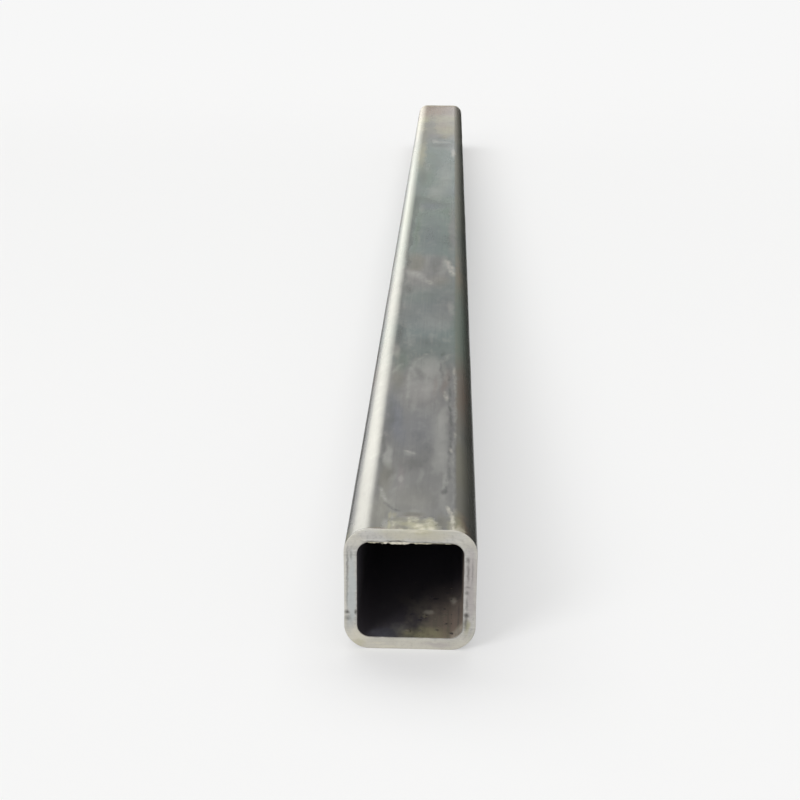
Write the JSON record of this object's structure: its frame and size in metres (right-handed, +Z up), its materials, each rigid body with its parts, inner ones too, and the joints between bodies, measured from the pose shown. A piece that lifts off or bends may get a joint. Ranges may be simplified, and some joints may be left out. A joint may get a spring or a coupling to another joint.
{
  "type": "square metal tube",
  "caption": "Thick-walled square steel tube, a long straight hollow section with rounded corners, an open bore and square-cut ends.",
  "frame": {"origin": "middle of the underside: halfway along the tube and halfway across it, on the face it rests on", "axes": "+Y along the tube, +Z up, +X across"},
  "size_m": [0.25, 6, 0.25],
  "materials": {
    "steel": "bare mill-finish steel: smooth grey scale with faint rust and dust stains outside, bright sawn ends, dusty rust in the bore"
  },
  "bodies": {
    "root": {"tube": "steel"}
  },
  "joints": []
}
